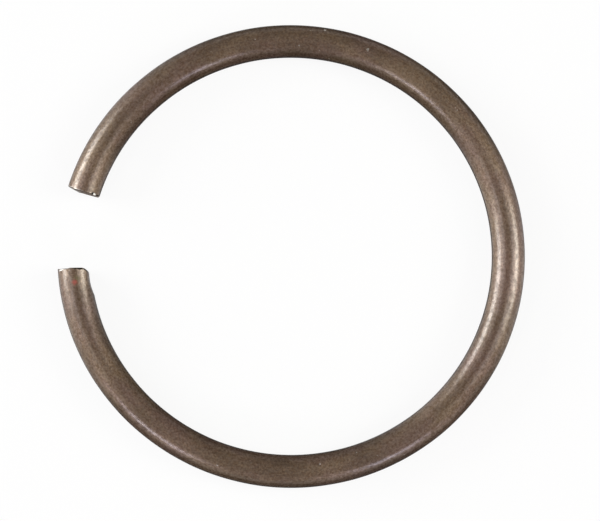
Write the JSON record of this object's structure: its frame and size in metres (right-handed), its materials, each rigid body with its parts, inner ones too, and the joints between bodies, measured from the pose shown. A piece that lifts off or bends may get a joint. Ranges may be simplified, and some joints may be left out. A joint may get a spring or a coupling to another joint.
{
  "type": "round wire retaining ring",
  "caption": "Open ring of round spring wire with sheared ends, sprung into a groove in a shaft to keep a part from sliding off.",
  "frame": {"origin": "centre of the ring, at the middle of the wire's thickness, where the shaft's axis passes", "axes": "+Z along the shaft's axis, square to the plane of the ring; -X from the centre to the middle of the gap between the ends; +Y to the end whose burr is on the inside"},
  "size_m": [0.0351, 0.0352, 0.0024],
  "materials": {
    "spring_wire": "oiled brown phosphate over drawn spring steel, satin, bare and bright where the wire was sheared"
  },
  "bodies": {
    "root": {"ring": "spring_wire"}
  },
  "joints": []
}
